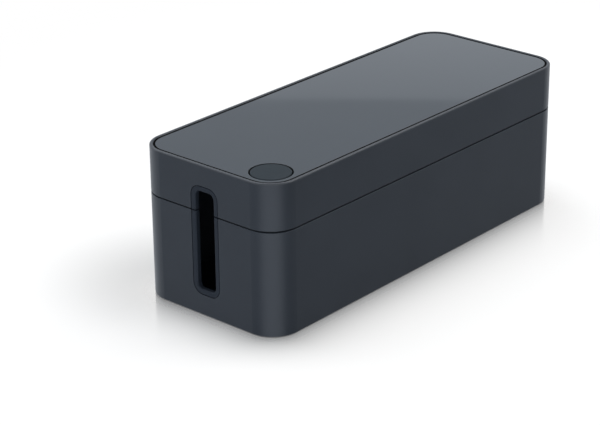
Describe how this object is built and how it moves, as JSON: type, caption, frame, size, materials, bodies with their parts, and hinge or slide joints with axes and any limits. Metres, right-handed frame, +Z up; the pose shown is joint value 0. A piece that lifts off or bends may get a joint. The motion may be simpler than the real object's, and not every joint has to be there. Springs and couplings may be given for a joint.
{
  "type": "cable management box",
  "caption": "Long rounded box that hides a socket strip: open tub, lift-off lid with an inset top panel, soft-lined cable slots in its ends and a plugged cable port in a lid corner.",
  "frame": {"origin": "middle of the footprint, on the table under the feet", "axes": "+X along the box's length, away from the end nearest the cable port; -Y towards the long face beside the port; +Z up"},
  "size_m": [0.406, 0.156, 0.139],
  "materials": {
    "housing": "satin moulded graphite",
    "panel": "smooth graphite with a soft gloss",
    "gland": "matt soft-touch",
    "plug": "matt soft-touch",
    "foot": "matt"
  },
  "bodies": {
    "tub": {"base_tub": "housing", "left_lower_gland": "gland", "right_lower_gland": "gland", "foot_front_left": "foot", "foot_front_right": "foot", "foot_back_left": "foot", "foot_back_right": "foot"},
    "lid": {"lid_shell": "housing", "top_panel": "panel", "left_upper_gland": "gland", "right_upper_gland": "gland"},
    "plug": {"port_plug": "plug"}
  },
  "joints": [
    {"name": "lid_lift", "type": "slide", "parent": "tub", "child": "lid", "axis": [0, 0, 1], "range_m": [0, 0.15]},
    {"name": "plug_pull", "type": "slide", "parent": "lid", "child": "plug", "axis": [0, 0, 1], "range_m": [0, 0.05]}
  ]
}
